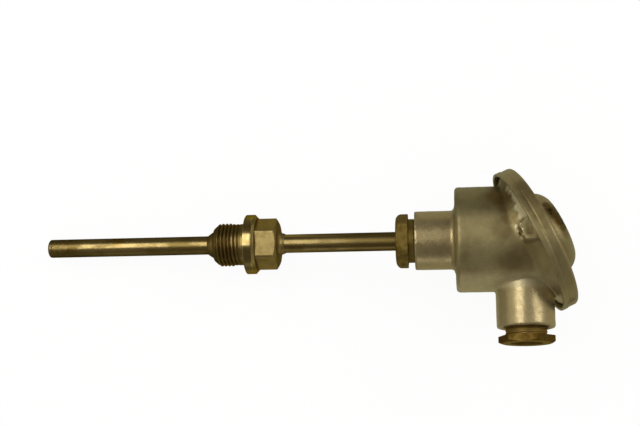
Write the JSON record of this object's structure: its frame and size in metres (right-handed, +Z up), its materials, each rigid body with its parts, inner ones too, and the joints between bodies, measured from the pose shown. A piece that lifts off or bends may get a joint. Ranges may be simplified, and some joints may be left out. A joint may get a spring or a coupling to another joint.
{
  "type": "resistance thermometer probe",
  "caption": "Resistance thermometer probe with a closed stem, a screwed process fitting and a cast connection head with a slanted lid and a cable gland.",
  "frame": {"origin": "centre of the sealing face under the process fitting's collar, on the stem's axis", "axes": "+Z up the stem to the connection head, +X along the cable entry, which is on the side where the lid is high; +Y by the right-hand rule"},
  "size_m": [0.0826, 0.0712, 0.2556],
  "materials": {
    "stem_steel": "drawn stainless tube, satin",
    "fitting_steel": "turned stainless, bright with tool marks",
    "cast_alloy": "satin die casting, a little stained",
    "nut_brass": "turned brass, dulled",
    "bright_screws": "turned screws, satin",
    "spring_steel": "drawn spring wire",
    "terminal_brass": "milled brass bars, nickel worn",
    "ceramic": "unglazed ceramic, matt",
    "element": "glazed ceramic element",
    "lead_metal": "bare lead wire",
    "plate_steel": "stamped steel, satin",
    "gasket_rubber": "matt black rubber"
  },
  "bodies": {
    "stem": {"protection_tube": "stem_steel", "tip_plug": "stem_steel", "process_fitting": "fitting_steel"},
    "head": {"head_body": "cast_alloy", "neck_clamp_screw": "nut_brass", "clamp_washer": "plate_steel", "clamp_ring": "terminal_brass", "insert_screws": "bright_screws", "insert_springs": "spring_steel", "earth_screw": "terminal_brass", "earth_washer": "plate_steel"},
    "insert": {"insert_tube": "stem_steel", "sensing_element": "element", "wire_insulator": "ceramic", "lead_wires": "lead_metal", "insert_flange": "plate_steel", "terminal_block": "ceramic", "block_screws": "bright_screws", "terminal_bars": "terminal_brass", "terminal_screws": "bright_screws"},
    "lid": {"lid": "cast_alloy", "lid_gasket": "gasket_rubber", "lid_screws": "bright_screws"},
    "gland_stack": {"gland_washer": "plate_steel", "cable_seal": "gasket_rubber"},
    "gland_screw": {"gland_screw": "nut_brass"}
  },
  "joints": [
    {"name": "head_swivel", "type": "hinge", "parent": "stem", "child": "head", "pos_m": [0, 0, 0.09], "axis": [0, 0, 1], "continuous": true},
    {"name": "lid_lift", "type": "slide", "parent": "head", "child": "lid", "axis": [-0.4195, 0, 0.9078], "range_m": [0, 0.045]},
    {"name": "insert_travel", "type": "slide", "parent": "head", "child": "insert", "axis": [0, 0, 1], "range_m": [0, 0.006], "stiffness_N_per_m": 2000, "springref_m": -0.004, "deforming": ["insert_springs"]},
    {"name": "gland_push", "type": "slide", "parent": "head", "child": "gland_stack", "axis": [-1, 0, 0], "range_m": [-0.00605, 0.0033]},
    {"name": "gland_turn", "type": "hinge", "parent": "gland_stack", "child": "gland_screw", "pos_m": [0.045, 0, 0.1318], "axis": [-1, 0, 0], "range_deg": [-1440, 790]}
  ],
  "couplings": [
    {"joint": "gland_push", "follows": "gland_turn", "m_per_rad": 0.00023873}
  ]
}
